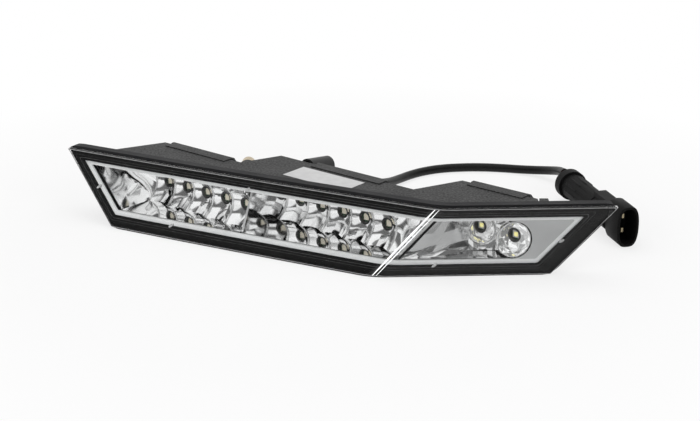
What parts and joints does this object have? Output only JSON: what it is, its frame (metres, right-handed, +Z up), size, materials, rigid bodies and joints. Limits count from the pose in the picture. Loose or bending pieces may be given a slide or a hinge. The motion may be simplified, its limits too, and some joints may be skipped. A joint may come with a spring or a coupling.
{
  "type": "vehicle indicator lamp",
  "caption": "Creased corner lamp unit for a vehicle bumper: clear lens over scooped reflectors, stepped rear housing with mounting bushes, vent, cable and plug.",
  "frame": {"origin": "middle of the bounding box of the lamp without its free cord, at the level of the surface it rests on", "axes": "+X along the lamp towards its right end as seen from the front, +Y rearward towards the bushes and cable, +Z up"},
  "size_m": [0.389, 0.2177, 0.0476],
  "materials": {
    "housing_plastic": "grained",
    "clear_lens": "polished clear plastic",
    "black_frame": "gloss",
    "sealant": "matt",
    "silver_trim": "satin",
    "bright_metallising": "bright",
    "board": "solder mask",
    "led_package": "smooth",
    "dark_collar": "smooth",
    "clear_optic": "clear",
    "heat_sink_metal": "extruded",
    "seal_rubber": "matt",
    "cover_plastic": "fine grain",
    "screw_steel": "zinc plated",
    "bush_brass": "machined",
    "vent_rubber": "satin",
    "label_film": "satin film",
    "cable_sleeve": "matt",
    "wire_insulation": "smooth",
    "plug_plastic": "moulded",
    "terminal_metal": "plated"
  },
  "bodies": {
    "root": {"housing": "housing_plastic", "lens": "clear_lens", "lens_frame": "black_frame", "glue_seal": "sealant", "bezel": "silver_trim", "reflector_left": "bright_metallising", "reflector_middle": "bright_metallising", "reflector_right": "bright_metallising", "led_board_left": "board", "led_board_middle": "board", "led_board_right": "board", "amber_leds_left": "led_package", "amber_leds_middle": "led_package", "white_leds": "led_package", "led_collars_left": "dark_collar", "led_collars_middle": "dark_collar", "led_collars_right": "dark_collar", "led_optics_left": "clear_optic", "led_optics_middle": "clear_optic", "heat_sink": "heat_sink_metal", "driver_board": "board", "cover_seals": "seal_rubber", "rear_cover_left": "cover_plastic", "rear_cover_middle": "cover_plastic", "rear_cover_right": "cover_plastic", "cover_screws": "screw_steel", "mounting_bushes": "bush_brass", "vent_elbow": "vent_rubber", "label": "label_film", "cable_gland": "vent_rubber", "cable": "cable_sleeve", "core_wires": "wire_insulation", "plug_shell": "plug_plastic", "plug_collar": "plug_plastic", "plug_latch": "plug_plastic", "terminals": "terminal_metal"}
  },
  "joints": []
}
